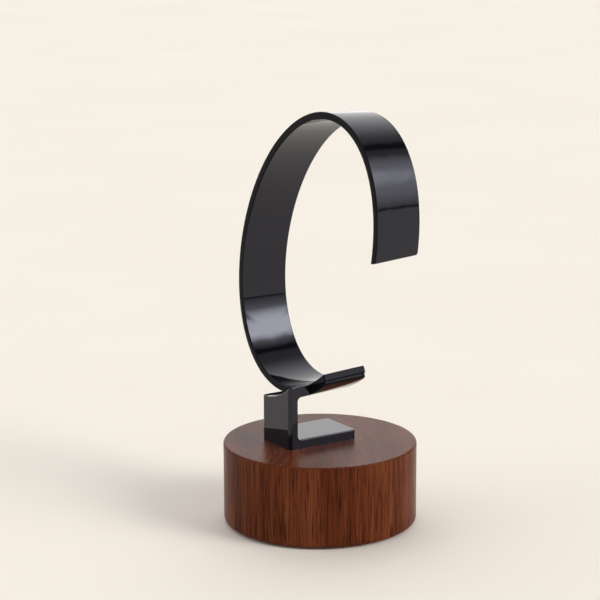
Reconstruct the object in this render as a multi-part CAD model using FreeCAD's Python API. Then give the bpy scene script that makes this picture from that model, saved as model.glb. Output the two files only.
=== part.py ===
import FreeCAD, Part
import math
import os

# A desk stand for one watch, in millimetres. The strap goes round an open oval strip, which a
# bracket holds above a turned wooden base. The origin is the centre of the underside and +Z is
# up. The strip's width runs along X, and the oval's mouth faces -Y.

V = FreeCAD.Vector

# Wooden base, a turned disc with eased edges
base_diameter = 55.0
base_height = 23.2
base_top_easing = 0.6
base_bottom_easing = 1.3

# Soft pad let into the underside, which hides the screws
pad_diameter = 44.0
pad_thickness = 1.2
pad_proud = 0.4
pad_side_gap = 0.2

# Bracket, moulded in one: foot plate, column, cheek and the cradle below the strip
foot_left = -13.0
foot_front = -4.4
foot_width = 22.4
foot_depth = 14.4
foot_thickness = 2.6
corner_radius = 1.0
column_thickness = 2.8
inner_corner_radius = 1.2
cheek_width = 7.0
cheek_cover = 1.35
cheek_rise = 5.3
cradle_floor = 0.95
cradle_taper = 0.6
cradle_corner_radius = 1.8
cradle_edge = 0.5
bracket_edge = 0.3

# Oval strip, measured outside at its left edge, which is the larger one
oval_short = 61.7
oval_long = 89.7
oval_lean = 31.3
oval_lowest_height = 12.7
strip_width = 14.5
strip_thickness = 2.1
strip_taper = 0.9
strip_edge = 0.3
strip_corner_radius = 0.8
strip_end_flare = 0.7
tip_slant = 0.7
bond_gap = 0.1

# The mouth, as angles round the oval above and below the front end of its short axis
mouth_above = 28.0
mouth_below = 31.2

# Two screws, which come up through the base into bosses below the foot plate
screw_spacing = 10.0
screw_length = 14.0
screw_diameter = 2.9
screw_head_diameter = 5.6
screw_head_height = 2.0
screw_head_easing = 0.8
screw_recess_width = 0.8
screw_recess_length = 3.0
screw_recess_depth = 1.2
thread_gap = 0.05
screw_passage_gap = 0.25
screw_head_gap = 0.5
boss_diameter = 6.2
boss_length = 7.0
boss_gap = 0.15
pilot_roof = 1.4

# Heights and places that follow from the sizes above
wood_bottom = pad_proud
wood_top = wood_bottom + base_height
foot_top = wood_top + foot_thickness
foot_back = foot_front + foot_depth
foot_right = foot_left + foot_width
foot_middle = V(foot_left + foot_width / 2, foot_front + foot_depth / 2, 0)
column_right = foot_left + column_thickness
strip_left = foot_left + cheek_width
strip_right = strip_left + strip_width
cheek_right = strip_left - bond_gap
cheek_back_top = wood_top + oval_lowest_height - cradle_floor + cheek_cover
cheek_front_top = cheek_back_top + cheek_rise
pilot_top = foot_top - pilot_roof
screw_tip = pilot_top - thread_gap
screw_seat = screw_tip - screw_length
half_turn = math.degrees(math.pi)
quarter_turn = half_turn / 2
full_turn = 2 * half_turn
beyond = 2 * oval_long
near_enough = 0.01


def lean_parts():
    """Cosine and sine of the oval's lean."""
    lean = math.radians(oval_lean)
    return math.cos(lean), math.sin(lean)


def semi_axes(x, grow):
    """The oval's short and long semi-axes at x, with grow added all round."""
    shrink = strip_taper * (x - strip_left) / strip_width
    return oval_short / 2 + grow - shrink, oval_long / 2 + grow - shrink


def oval_centre(x):
    """The oval's centre: its lowest point lies over the bracket's back edge."""
    cos_lean, sin_lean = lean_parts()
    short, long = semi_axes(strip_left, 0.0)
    reach = math.hypot(short * sin_lean, long * cos_lean)
    shift = (long ** 2 - short ** 2) * sin_lean * cos_lean / reach
    return V(x, foot_back - shift, wood_top + oval_lowest_height + reach)


def oval_point(x, grow, angle):
    """A point of the oval, by its angle from the back end of the short axis."""
    cos_lean, sin_lean = lean_parts()
    short, long = semi_axes(x, grow)
    across = short * math.cos(math.radians(angle))
    along = long * math.sin(math.radians(angle))
    offset = V(0, across * cos_lean - along * sin_lean, across * sin_lean + along * cos_lean)
    return oval_centre(x) + offset


def oval_curve(x, grow):
    """The whole oval as an ellipse whose own angle starts at the top of the long axis."""
    top = oval_point(x, grow, quarter_turn)
    front = oval_point(x, grow, half_turn)
    return Part.Ellipse(top, front, oval_centre(x))


def oval_arc(x, grow, start, end):
    """The oval's stretch between two angles."""
    first = math.radians(start - quarter_turn)
    last = math.radians(end - quarter_turn)
    return Part.Edge(oval_curve(x, grow), first, last)


def cradle_grow(x):
    """How far the underside of the cheek and cradle stands out from the strip's outside at x."""
    return cradle_floor + (strip_taper - cradle_taper) * (x - strip_left) / strip_width


def oval_solid(left, right, grow):
    """Everything inside the oval between two planes across X."""
    rims = [Part.Wire([oval_curve(x, grow(x)).toShape()]) for x in (left, right)]
    return Part.makeLoft(rims, True, True)


def turn_for(length):
    """The angle that takes one of the mouth's ends on by a length along the strip."""
    short, long = semi_axes(strip_left, 0.0)
    angle = math.radians(mouth_above)
    return math.degrees(length / math.hypot(short * math.sin(angle), long * math.cos(angle)))


def flare(x):
    """How far the ends stop short at x, as an angle: the mouth widens to the right."""
    return turn_for(strip_end_flare) * (x - strip_left) / strip_width


def lip_angle(x):
    """The angle of the strip's lower end at x, counted backwards from the oval's back."""
    return half_turn + mouth_below - full_turn + flare(x)


def tip_angle(x):
    """The angle of the strip's upper end at x, on its outside."""
    return half_turn - mouth_above - flare(x)


def oval_band(left, right, outer, inner, end, slant=0.0):
    """A band that follows the oval from the lip to an end, between two planes across X."""
    profiles = []
    for x in (left, right):
        outer_grow = outer(x)
        inner_grow = inner(x)
        start = lip_angle(x)
        outer_end = end(x)
        inner_end = outer_end + slant
        outside = oval_arc(x, outer_grow, start, outer_end)
        inside = oval_arc(x, inner_grow, start, inner_end)
        first = Part.makeLine(oval_point(x, outer_grow, start), oval_point(x, inner_grow, start))
        last = Part.makeLine(oval_point(x, outer_grow, outer_end),
                             oval_point(x, inner_grow, inner_end))
        profiles.append(Part.Wire([outside, last, inside, first]))
    return Part.makeLoft(profiles, True, True)


def box(low, high):
    """A box between two corners."""
    size = high - low
    return Part.makeBox(size.x, size.y, size.z, low)


def cylinder(diameter, low, high, middle):
    """An upright cylinder between two heights."""
    return Part.makeCylinder(diameter / 2, high - low, V(middle.x, middle.y, low))


def edges_where(shape, test):
    """The shape's edges whose middle point passes the test."""
    found = []
    for edge in shape.Edges:
        middle = edge.valueAt((edge.FirstParameter + edge.LastParameter) / 2)
        if test(edge, middle):
            found.append(edge)
    return found


def near(value, target):
    """Whether two lengths are the same for the choice of edges."""
    return abs(value - target) < near_enough


def screw_places():
    """Where the two screws stand, along the middle of the foot plate."""
    half = V(screw_spacing / 2, 0, 0)
    return [foot_middle - half, foot_middle + half]


def make_base():
    """The wooden disc with its pad recess, screw passages and boss holes."""
    disc = cylinder(base_diameter, wood_bottom, wood_top, V())
    top = edges_where(disc, lambda edge, middle: near(edge.CenterOfMass.z, wood_top))
    disc = disc.makeFillet(base_top_easing, top)
    bottom = edges_where(disc, lambda edge, middle: near(edge.CenterOfMass.z, wood_bottom))
    disc = disc.makeFillet(base_bottom_easing, bottom)
    recess_top = pad_thickness
    cuts = [cylinder(pad_diameter + 2 * pad_side_gap, 0, recess_top, V())]
    for place in screw_places():
        boss_hole_bottom = wood_top - boss_length - boss_gap
        cuts.append(cylinder(boss_diameter + 2 * boss_gap, boss_hole_bottom, wood_top, place))
        cuts.append(cylinder(screw_diameter + 2 * screw_passage_gap, 0, wood_top, place))
        cuts.append(cylinder(screw_head_diameter + 2 * screw_head_gap, 0, screw_seat, place))
    for cut in cuts:
        disc = disc.cut(cut)
    return disc


def make_pad():
    """The soft pad below the base."""
    return cylinder(pad_diameter, 0, pad_thickness, V())


def below_cheek(left, right):
    """Everything from the wood up to the cheek's curved top, over the bracket's depth."""
    radius = (foot_depth ** 2 + cheek_rise ** 2) / (2 * cheek_rise)
    turn = math.asin(foot_depth / radius) / 2
    back = V(left, foot_back, cheek_back_top)
    middle = back + V(0, -radius * math.sin(turn), radius * (1 - math.cos(turn)))
    front = V(left, foot_front, cheek_front_top)
    back_foot = V(left, foot_back, wood_top)
    front_foot = V(left, foot_front, wood_top)
    sides = [Part.makeLine(front_foot, back_foot), Part.makeLine(back_foot, back)]
    sides.append(Part.Arc(back, middle, front).toShape())
    sides.append(Part.makeLine(front, front_foot))
    return Part.Face(Part.Wire(sides)).extrude(V(right - left, 0, 0))


def make_foot():
    """The foot plate, with rounded corners at its free end."""
    plate = box(V(foot_left, foot_front, wood_top), V(foot_right, foot_back, foot_top))
    corners = edges_where(plate, lambda edge, middle: near(middle.x, foot_right)
                          and near(edge.Length, foot_thickness))
    return plate.makeFillet(corner_radius, corners)


def make_cradle():
    """The curved arm: a floor that follows the strip as far as the mouth."""
    floor = oval_band(cheek_right, strip_right, cradle_grow, lambda x: bond_gap, lambda x: 0.0)
    behind = box(V(-beyond, foot_back, -beyond), V(beyond, beyond, beyond))
    cradle = floor.cut(behind)
    end = lip_angle(strip_right)
    corner = (oval_point(strip_right, cradle_grow(strip_right), end)
              + oval_point(strip_right, bond_gap, end)) / 2
    corners = edges_where(cradle, lambda edge, middle: near(middle.distanceToPoint(corner), 0))
    cradle = cradle.makeFillet(cradle_corner_radius, corners)
    sides = edges_where(cradle, lambda edge, middle: near(edge.BoundBox.XMin, strip_right)
                        and edge.Length > foot_depth / 2)
    lower_side = min(sides, key=lambda edge: edge.BoundBox.ZMin)
    return cradle.makeFillet(cradle_edge, [lower_side])


def round_corners(body):
    """The large radii: both corners inside the C and the column's two outer ones."""
    inner = edges_where(body, lambda edge, middle: near(middle.x, column_right)
                        and abs(edge.BoundBox.YLength - foot_depth) < bracket_edge)
    body = body.makeFillet(inner_corner_radius, inner)
    uprights = edges_where(body, lambda edge, middle: near(middle.x, foot_left)
                           and near(edge.BoundBox.YLength, 0)
                           and edge.BoundBox.ZLength > foot_thickness)
    return body.makeFillet(corner_radius, uprights)


def ease_edges(body):
    """The small radii: round the cheek's top, and on the outlines of the C's two faces."""
    tops = [face for face in body.Faces if isinstance(face.Surface, Part.Cylinder)
            and face.Surface.Radius > foot_depth]
    outline = edges_where(tops[0], lambda edge, middle: not near(edge.BoundBox.XMin, cheek_right))
    body = body.makeFillet(bracket_edge, outline)
    foot_end = edges_where(body, lambda edge, middle: near(middle.x, foot_right)
                           and near(middle.z, foot_top))
    return body.makeFillet(bracket_edge, foot_end)


def add_bosses(bracket):
    """Two bosses below the foot plate, each with a blind pilot hole."""
    for place in screw_places():
        bracket = bracket.fuse(cylinder(boss_diameter, wood_top - boss_length, foot_top, place))
    for place in screw_places():
        pilot = cylinder(screw_diameter + 2 * thread_gap, wood_top - boss_length, pilot_top, place)
        bracket = bracket.cut(pilot)
    return bracket


def make_bracket():
    """Foot, column, cheek and cradle as one moulding."""
    column = below_cheek(foot_left, column_right)
    inside_oval = oval_solid(foot_left, strip_right, cradle_grow)
    cheek = below_cheek(foot_left, cheek_right).common(inside_oval)
    body = make_foot().fuse([column, cheek]).removeSplitter()
    body = ease_edges(round_corners(body))
    return add_bosses(body.fuse(make_cradle()))


def make_ring():
    """The open oval strip, with eased edges and rounded end corners."""
    slant = turn_for(tip_slant)
    ring = oval_band(strip_left, strip_right, lambda x: 0.0, lambda x: -strip_thickness,
                     tip_angle, slant)
    corners = edges_where(ring, lambda edge, middle: near(middle.x, strip_right)
                          and edge.Length < 2 * strip_thickness)
    ring = ring.makeFillet(strip_corner_radius, corners)
    lip_left, lip_right = [oval_point(x, 0.0, lip_angle(x)) for x in (strip_left, strip_right)]
    eased = edges_where(ring, lambda edge, middle: middle.distanceToLine(
        lip_left, lip_right - lip_left) > near_enough)
    return ring.makeFillet(strip_edge, eased)


def make_screws():
    """The two pan-head screws with a cross recess."""
    screws = []
    for place in screw_places():
        head_bottom = screw_seat - screw_head_height
        head = cylinder(screw_head_diameter, head_bottom, screw_seat, place)
        rim = edges_where(head, lambda edge, middle: near(edge.CenterOfMass.z, head_bottom))
        head = head.makeFillet(screw_head_easing, rim)
        shank = cylinder(screw_diameter, screw_seat, screw_tip, place)
        screw = head.fuse(shank)
        for along, across in ((screw_recess_length, screw_recess_width),
                              (screw_recess_width, screw_recess_length)):
            half = V(along / 2, across / 2, 0)
            low = place - half + V(0, 0, head_bottom)
            high = place + half + V(0, 0, head_bottom + screw_recess_depth)
            screw = screw.cut(box(low, high))
        screws.append(screw)
    return Part.makeCompound(screws)


os.makedirs("parts", exist_ok=True)
make_base().exportStep("parts/wood_base.step")
make_pad().exportStep("parts/base_pad.step")
make_bracket().exportStep("parts/stand_bracket.step")
make_ring().exportStep("parts/watch_ring.step")
make_screws().exportStep("parts/base_screws.step")
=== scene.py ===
import math

import bpy
from mathutils import Matrix, Vector

# A watch stand on pale paper: gloss black oval and bracket above a dark walnut base.
# Lengths are metres in the row frame: the underside is at zero and the mouth faces -Y.

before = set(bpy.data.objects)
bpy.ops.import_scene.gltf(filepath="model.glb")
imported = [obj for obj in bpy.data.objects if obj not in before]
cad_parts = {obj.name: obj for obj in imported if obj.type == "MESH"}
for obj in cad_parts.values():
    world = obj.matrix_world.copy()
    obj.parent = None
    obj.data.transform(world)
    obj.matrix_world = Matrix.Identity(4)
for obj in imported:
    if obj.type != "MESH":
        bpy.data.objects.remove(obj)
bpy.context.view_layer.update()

# Camera at the photograph's viewing angle
camera_place = (-0.329140, -0.496652, 0.201748)
camera_right = (0.838235, -0.545298, -0.003428)
camera_up = (0.125261, 0.186426, 0.974451)
camera_back = (-0.530727, -0.817249, 0.224574)
camera_lens = 130.72
sensor_width = 36.0
clip_near = 0.02
clip_far = 20.0

# Ranges that a value is brought from or to; a noise's values mostly fill the first
noise_range = (0.3, 0.7)
rising = (0.0, 1.0)
falling = (1.0, 0.0)

# Noises have a scale per metre and a detail, and some have a roughness and a distortion too.
# Reliefs have a depth in metres and a strength.

# Wood colours, from the open grain to the pale bands
wood_pore = (0.017, 0.0036, 0.0014, 1.0)
wood_dark = (0.062, 0.0135, 0.0046, 1.0)
wood_middle = (0.112, 0.0262, 0.0088, 1.0)
wood_light = (0.190, 0.0560, 0.0200, 1.0)
wood_stops = [(0.36, wood_dark), (0.50, wood_middle), (0.66, wood_light)]
wood_bands = (150.0, 3.0, 0.55, 0.2)
wood_fine = (1150.0, 4.0, 0.65, 0.1)
wood_pores = (2700.0, 2.0, 0.6)
wood_streaks = (820.0, 2.0)
wood_cloud = (38.0, 2.0)
cloud_strength = 0.05
pore_range = (0.54, 0.64)
pore_strength = 0.80
streak_range = (0.60, 0.72)
streak_strength = 0.55
top_strength = 0.5
fine_height = 0.4
wood_relief = (0.00003, 0.5)
wood_roughness = (0.25, 0.33)
wood_ior = 1.48
wood_shine = 0.055
# How far up a face looks where the side's grain gives way to the top's
top_facing = (0.55, 0.80)
# The top is end grain: its rings run round the tree's heart, which lies outside the base
tree_heart = (-0.058, 0.026, 0.0)
grain_turn = 23.0
fibre_stretch = 0.035
ring_stretch = 0.06

# Black acrylic, polished on its faces, with painted shade on its cut edges: their reflection is
# turned down so they look darker
black_plastic = (0.0040, 0.0038, 0.0055, 1.0)
plastic_dust = (0.10, 0.10, 0.11, 1.0)
cool_tint = (0.82, 0.83, 1.0, 1.0)
plastic_ripple = (40.0, 1.0)
plastic_hair = (2600.0, 2.0, 0.6)
hair_stretch = (0.05, 1.0, 1.0)
hair_range = (0.35, 0.7)
hair_height = 0.02
dust_noise = (1500.0, 1.0)
dust_range = (0.79, 0.81)
dust_strength = 0.6
plastic_relief = (0.00002, 0.5)
plastic_roughness = (0.045, 0.075)
plastic_ior = 1.49
polished_shine = 0.5
# Shine on the cut edges, turned down as painted shade
shade_painted_shine = 0.06
# Where the painted shade goes: the lower lip's end lies below and in front of these, and looks
# towards -Y
lip_top = 0.050
lip_back = -0.008
edge_blend = 0.0005
lip_end_facing = (-0.80, -0.60)
side_facing = (0.35, 0.75)

# Foam rubber
rubber_black = (0.022, 0.021, 0.020, 1.0)
rubber_pale = (0.045, 0.043, 0.041, 1.0)
rubber_cells = 2300.0
rubber_mottle = (260.0, 3.0)
rubber_relief = (0.00008, 0.7)
rubber_roughness = (0.78, 0.92)

# Plated steel
screw_grey = (0.46, 0.46, 0.47, 1.0)
screw_warm = (0.58, 0.57, 0.54, 1.0)
turning_marks = (5200.0, 2.0)
turning_stretch = (0.1, 0.1, 1.0)
steel_patina = (700.0, 3.0)
steel_relief = (0.00002, 0.5)
steel_roughness = (0.24, 0.40)

# Paper
paper_colour = (0.93, 0.875, 0.800, 1.0)
paper_shade = (0.91, 0.853, 0.775, 1.0)
paper_fibre = (900.0, 3.0)
paper_mottle = (9.0, 2.0)
paper_relief = (0.00005, 0.3)
paper_roughness = 0.9
paper_shine = 0.2
paper_half_width = 6.0

# The studio's light: brightness at the horizon and overhead, and the height where it has faded
air_tint = (1.0, 0.99, 0.975, 1.0)
horizon_light = 0.77
zenith_light = 0.385
fade_height = 0.30
# Soft lamps, each a direction, the angles where its glow ends and is full, and its brightness
soft_lamps = [
    ((0.43, 0.76, 0.49), 55.6, 8.3, 1.22),
    ((0.44, -0.76, 0.48), 18.5, 2.2, 7.3),
    ((0.51, -0.74, 0.45), 28.0, 8.4, 2.2),
    ((-0.84, 0.50, 0.25), 50.0, 10.0, 1.0),
]
# The dark seam between the back lamp and the front ones, a band across the sky square to this
seam_square = (0.271, -0.837, -0.474)
seam_width = (0.031, 0.114)
seam_light = 0.05
# The dark gap low in front, between the paper and the front lamps
gap_towards = (0.53, -0.85, 0.0)
gap_spread = (0.75, 0.92)
gap_height = 0.035
gap_light = 0.15


class NodeTree:
    """A node tree, with short calls for the nodes used here."""

    def __init__(self, tree):
        self.nodes = tree.nodes
        self.links = tree.links

    def feed(self, socket, value):
        """Gives an input a link from another node, or a plain value."""
        if isinstance(value, bpy.types.NodeSocket):
            self.links.new(value, socket)
        else:
            socket.default_value = value

    def add(self, kind, **values):
        """A new node and values for its inputs by name; underscores stand for spaces."""
        node = self.nodes.new(kind)
        for name, value in values.items():
            self.feed(node.inputs[name.replace("_", " ")], value)
        return node

    def span(self, value, old_range, new_range, smooth=False):
        """A value brought from one range to another, kept within the new one."""
        node = self.add("ShaderNodeMapRange", Value=value)
        if smooth:
            node.interpolation_type = "SMOOTHSTEP"
        # Inputs 1 to 4 are the ends of the old range and then of the new one
        for socket, limit in zip(node.inputs[1:5], (*old_range, *new_range)):
            socket.default_value = limit
        return node.outputs["Result"]

    def maths(self, operation, first, second=0.0):
        node = self.add("ShaderNodeMath")
        node.operation = operation
        self.feed(node.inputs[0], first)
        self.feed(node.inputs[1], second)
        return node.outputs["Value"]

    def vector_maths(self, operation, first, second=(0.0, 0.0, 0.0), result="Vector"):
        node = self.add("ShaderNodeVectorMath")
        node.operation = operation
        self.feed(node.inputs[0], first)
        self.feed(node.inputs[1], second)
        return node.outputs[result]

    def split(self, vector):
        """A vector's X, Y and Z."""
        return self.add("ShaderNodeSeparateXYZ", Vector=vector).outputs


class Graph(NodeTree):
    """A new material's node tree."""

    def __init__(self, name):
        self.material = bpy.data.materials.new(name)
        self.material.use_nodes = True
        super().__init__(self.material.node_tree)
        self.nodes.clear()
        self.shader = self.add("ShaderNodeBsdfPrincipled")
        self.add("ShaderNodeOutputMaterial", Surface=self.shader.outputs["BSDF"])

    def place(self, scale=(1.0, 1.0, 1.0), turn=(0.0, 0.0, 0.0)):
        """Object coordinates, turned and then scaled."""
        spot = self.add("ShaderNodeTexCoord").outputs["Object"]
        turned = self.add("ShaderNodeMapping", Vector=spot, Rotation=turn)
        scaled = self.add("ShaderNodeMapping", Vector=turned.outputs["Vector"], Scale=scale)
        return scaled.outputs["Vector"]

    def normal(self):
        """The surface's own X, Y and Z directions."""
        return self.split(self.add("ShaderNodeNewGeometry").outputs["Normal"])

    def noise(self, vector, scale, detail, rough=0.5, distort=0.0):
        node = self.add("ShaderNodeTexNoise", Vector=vector, Scale=scale, Detail=detail,
                        Roughness=rough, Distortion=distort)
        return node.outputs["Fac"]

    def ramp(self, value, stops):
        """A colour ramp through (position, colour) stops."""
        node = self.add("ShaderNodeValToRGB", Fac=value)
        elements = node.color_ramp.elements
        while len(elements) < len(stops):
            elements.new(0.5)
        for element, (position, colour) in zip(elements, stops):
            element.position = position
            element.color = colour
        return node.outputs["Color"]

    def mix(self, factor, first, second):
        """Two colours mixed by a factor."""
        node = self.add("ShaderNodeMix", Factor=factor)
        node.data_type = "RGBA"
        # The colours go by number, because the node's other kinds of input share their names
        self.feed(node.inputs[6], first)
        self.feed(node.inputs[7], second)
        return node.outputs[2]

    def bump(self, height, depth, strength):
        node = self.add("ShaderNodeBump", Height=height, Distance=depth, Strength=strength)
        self.feed(self.shader.inputs["Normal"], node.outputs["Normal"])

    def set(self, **values):
        """The shader's own inputs; underscores stand for spaces."""
        for name, value in values.items():
            self.feed(self.shader.inputs[name.replace("_", " ")], value)


def end_grain_place(graph):
    """Coordinates that follow the growth rings: outwards from the heart, and slowly along them."""
    flat = graph.place(scale=(1.0, 1.0, 0.0))
    from_heart = graph.vector_maths("SUBTRACT", flat, tree_heart)
    outwards = graph.vector_maths("LENGTH", from_heart, result="Value")
    along = graph.split(graph.place(turn=(0.0, 0.0, math.radians(grain_turn))))["Y"]
    slow = graph.maths("MULTIPLY", along, ring_stretch)
    return graph.add("ShaderNodeCombineXYZ", X=outwards, Y=slow).outputs["Vector"]


def walnut():
    """Oiled walnut: upright fibres and pores on the side, growth rings on the top."""
    graph = Graph("walnut_oiled")
    top_share = graph.span(graph.normal()["Z"], top_facing, rising)
    fibres = graph.place(scale=(1.0, 1.0, fibre_stretch))
    grain = graph.mix(top_share, fibres, end_grain_place(graph))
    fine = graph.noise(grain, *wood_fine)
    both = graph.maths("ADD", graph.noise(grain, *wood_bands), fine)
    cloud = graph.noise(graph.place(), *wood_cloud)
    cloud = graph.span(cloud, noise_range, (-cloud_strength, cloud_strength))
    value = graph.maths("ADD", graph.maths("MULTIPLY", both, 0.5), cloud)
    colour = graph.ramp(value, wood_stops)
    # Pores and dark streaks are weaker on the end grain
    weight = graph.span(top_share, rising, (1.0, top_strength))
    pores = graph.span(graph.noise(grain, *wood_pores), pore_range, (0.0, pore_strength))
    pores = graph.maths("MULTIPLY", pores, weight)
    streaks = graph.noise(grain, *wood_streaks)
    streaks = graph.span(streaks, streak_range, (0.0, streak_strength))
    streaks = graph.maths("MULTIPLY", streaks, weight)
    colour = graph.mix(graph.maths("MAXIMUM", pores, streaks), colour, wood_pore)
    height = graph.maths("SUBTRACT", graph.maths("MULTIPLY", fine, fine_height), pores)
    graph.bump(height, *wood_relief)
    rough = graph.span(fine, noise_range, wood_roughness)
    graph.set(Base_Color=colour, Roughness=rough, IOR=wood_ior, Specular_IOR_Level=wood_shine)
    return graph.material


def painted_shade_share(graph, with_sides):
    """1 where painted shade goes, on the end of the lower lip and on the strip's two side faces
    where asked; 0 elsewhere.
    """
    normal = graph.normal()
    spot = graph.split(graph.place())
    low = graph.span(spot["Z"], (lip_top, lip_top + edge_blend), falling)
    front = graph.span(spot["Y"], (lip_back, lip_back + edge_blend), falling)
    facing = graph.span(normal["Y"], lip_end_facing, falling)
    share = graph.maths("MULTIPLY", graph.maths("MULTIPLY", low, front), facing)
    if with_sides:
        sides = graph.span(graph.maths("ABSOLUTE", normal["X"]), side_facing, rising)
        share = graph.maths("MAXIMUM", share, sides)
    return share


def gloss_black(name, shade_sides):
    """Polished black acrylic with the faint ripple, hairlines and few specks of a moulding."""
    graph = Graph(name)
    ripple = graph.noise(graph.place(), *plastic_ripple)
    hair = graph.noise(graph.place(scale=hair_stretch), *plastic_hair)
    dust = graph.noise(graph.place(), *dust_noise)
    dust = graph.span(dust, dust_range, (0.0, dust_strength))
    colour = graph.mix(dust, black_plastic, plastic_dust)
    rough = graph.span(hair, hair_range, plastic_roughness)
    height = graph.maths("ADD", ripple, graph.maths("MULTIPLY", hair, hair_height))
    graph.bump(height, *plastic_relief)
    # Painted shade: the reflection is turned down on the lip's end, and on the side faces where
    # asked
    painted_shade = painted_shade_share(graph, shade_sides)
    shine = graph.span(painted_shade, rising, (polished_shine, shade_painted_shine))
    graph.set(Base_Color=colour, Roughness=rough, IOR=plastic_ior, Specular_Tint=cool_tint)
    graph.set(Specular_IOR_Level=shine)
    return graph.material


def soft_rubber():
    """Closed-cell foam rubber with a fine dimpled skin."""
    graph = Graph("rubber_foam")
    cells = graph.add("ShaderNodeTexVoronoi", Vector=graph.place(), Scale=rubber_cells)
    mottle = graph.noise(graph.place(), *rubber_mottle)
    graph.bump(cells.outputs["Distance"], *rubber_relief)
    graph.set(Base_Color=graph.mix(mottle, rubber_black, rubber_pale))
    graph.set(Roughness=graph.span(mottle, noise_range, rubber_roughness))
    return graph.material


def plated_steel():
    """Zinc-plated steel with turning marks."""
    graph = Graph("steel_plated")
    marks = graph.noise(graph.place(scale=turning_stretch), *turning_marks)
    patina = graph.noise(graph.place(), *steel_patina)
    graph.bump(marks, *steel_relief)
    graph.set(Base_Color=graph.mix(patina, screw_grey, screw_warm), Metallic=1.0)
    graph.set(Roughness=graph.span(marks, noise_range, steel_roughness))
    return graph.material


def pale_paper():
    """The pale paper under the stand."""
    graph = Graph("pale_paper")
    fibre = graph.noise(graph.place(), *paper_fibre)
    mottle = graph.span(graph.noise(graph.place(), *paper_mottle), noise_range, rising)
    graph.bump(fibre, *paper_relief)
    graph.set(Base_Color=graph.mix(mottle, paper_colour, paper_shade))
    graph.set(Roughness=paper_roughness, Specular_IOR_Level=paper_shine)
    return graph.material


def dress(node, material):
    """Gives a CAD node a finished material in each of its slots."""
    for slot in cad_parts[node].material_slots:
        slot.material = material


def make_floor():
    """A wide flat sheet of paper, level with the pad's underside."""
    half = paper_half_width
    corners = [(-half, -half, 0.0), (half, -half, 0.0), (half, half, 0.0), (-half, half, 0.0)]
    mesh = bpy.data.meshes.new("paper_floor")
    mesh.from_pydata(corners, [], [(0, 1, 2, 3)])
    mesh.materials.append(pale_paper())
    floor = bpy.data.objects.new("paper_floor", mesh)
    bpy.context.scene.collection.objects.link(floor)


class Sky(NodeTree):
    """A new world's node tree: brightness by direction."""

    def __init__(self, name):
        world = bpy.data.worlds.new(name)
        bpy.context.scene.world = world
        world.use_nodes = True
        super().__init__(world.node_tree)
        self.direction = self.add("ShaderNodeTexCoord").outputs["Generated"]
        self.height = self.split(self.direction)["Z"]

    def along(self, towards):
        """How closely a direction follows another one, from -1 to 1."""
        towards = Vector(towards).normalized()
        return self.vector_maths("DOT_PRODUCT", self.direction, towards, "Value")

    def glow(self, towards, end_angle, full_angle, strength):
        """A soft round lamp in one direction."""
        fade = [math.cos(math.radians(angle)) for angle in (end_angle, full_angle)]
        return self.span(self.along(towards), fade, (0.0, strength), smooth=True)


def make_light():
    """Plain studio light: pale air that darkens upwards, and the soft lamps."""
    sky = Sky("studio_air")
    air = (horizon_light, zenith_light)
    light = sky.span(sky.height, (0.0, fade_height), air, smooth=True)
    for lamp in soft_lamps:
        light = sky.maths("ADD", light, sky.glow(*lamp))
    off_seam = sky.maths("ABSOLUTE", sky.along(seam_square))
    seam = sky.span(off_seam, seam_width, (seam_light, 1.0), smooth=True)
    away = sky.span(sky.along(gap_towards), gap_spread, falling, smooth=True)
    above = sky.span(sky.height, (0.0, gap_height), (gap_light, 1.0), smooth=True)
    gap = sky.maths("MAXIMUM", away, above)
    light = sky.maths("MULTIPLY", sky.maths("MULTIPLY", light, seam), gap)
    background = sky.nodes["Background"]
    sky.feed(background.inputs["Color"], air_tint)
    sky.feed(background.inputs["Strength"], light)


def make_camera():
    """The camera at the photograph's viewing angle."""
    data = bpy.data.cameras.new("photo_camera")
    data.sensor_fit = "HORIZONTAL"
    data.sensor_width = sensor_width
    data.lens = camera_lens
    data.clip_start = clip_near
    data.clip_end = clip_far
    camera = bpy.data.objects.new("photo_camera", data)
    bpy.context.scene.collection.objects.link(camera)
    axes = Matrix((camera_right, camera_up, camera_back)).transposed().to_4x4()
    camera.matrix_world = Matrix.Translation(camera_place) @ axes
    bpy.context.scene.camera = camera


dress("wood_base", walnut())
dress("base_pad", soft_rubber())
dress("stand_bracket", gloss_black("acrylic_bracket", shade_sides=False))
dress("watch_ring", gloss_black("acrylic_ring", shade_sides=True))
dress("base_screws", plated_steel())
make_floor()
make_light()
make_camera()

bpy.context.scene.view_settings.view_transform = "Standard"
